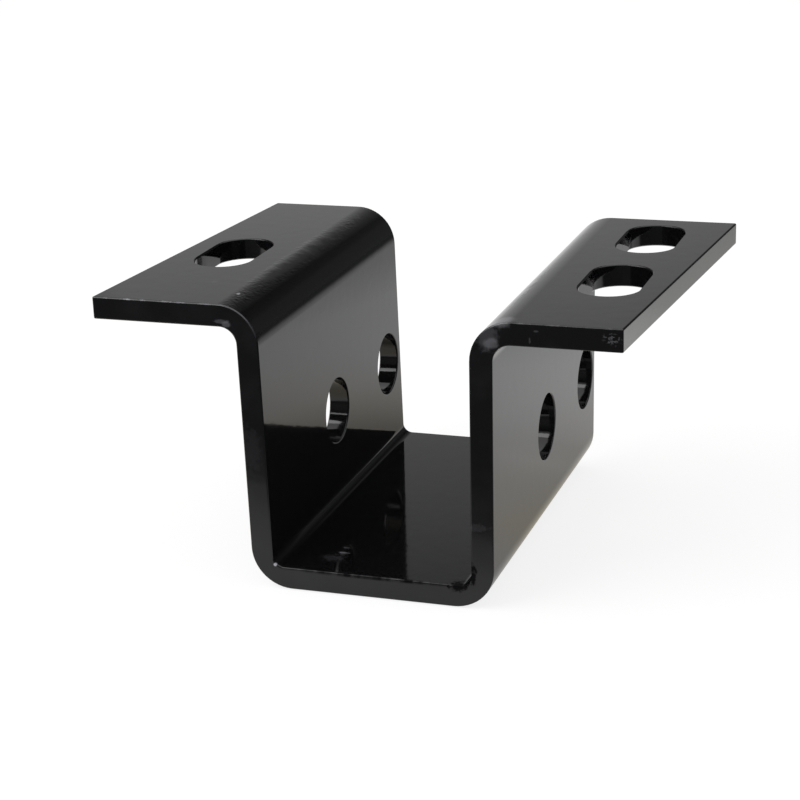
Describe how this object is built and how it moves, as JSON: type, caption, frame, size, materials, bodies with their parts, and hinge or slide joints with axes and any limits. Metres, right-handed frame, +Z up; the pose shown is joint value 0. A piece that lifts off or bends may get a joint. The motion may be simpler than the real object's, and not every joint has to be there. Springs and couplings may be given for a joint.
{
  "type": "u bracket",
  "caption": "Folded steel plate bracket of hat section: a U channel with pin holes through its webs and slotted mounting flanges at the top.",
  "frame": {"origin": "centre of the underside: on the channel's centre plane, at mid-length, where the base stands", "axes": "+X across the channel towards the flange with the pair of slots, +Y along the channel towards the end that the pin holes lie nearer to, +Z up out of the channel's open side"},
  "size_m": [0.1358, 0.099, 0.0703],
  "materials": {
    "coated_steel": "gloss black powder coat over steel plate"
  },
  "bodies": {
    "root": {"u_bracket": "coated_steel"}
  },
  "joints": []
}
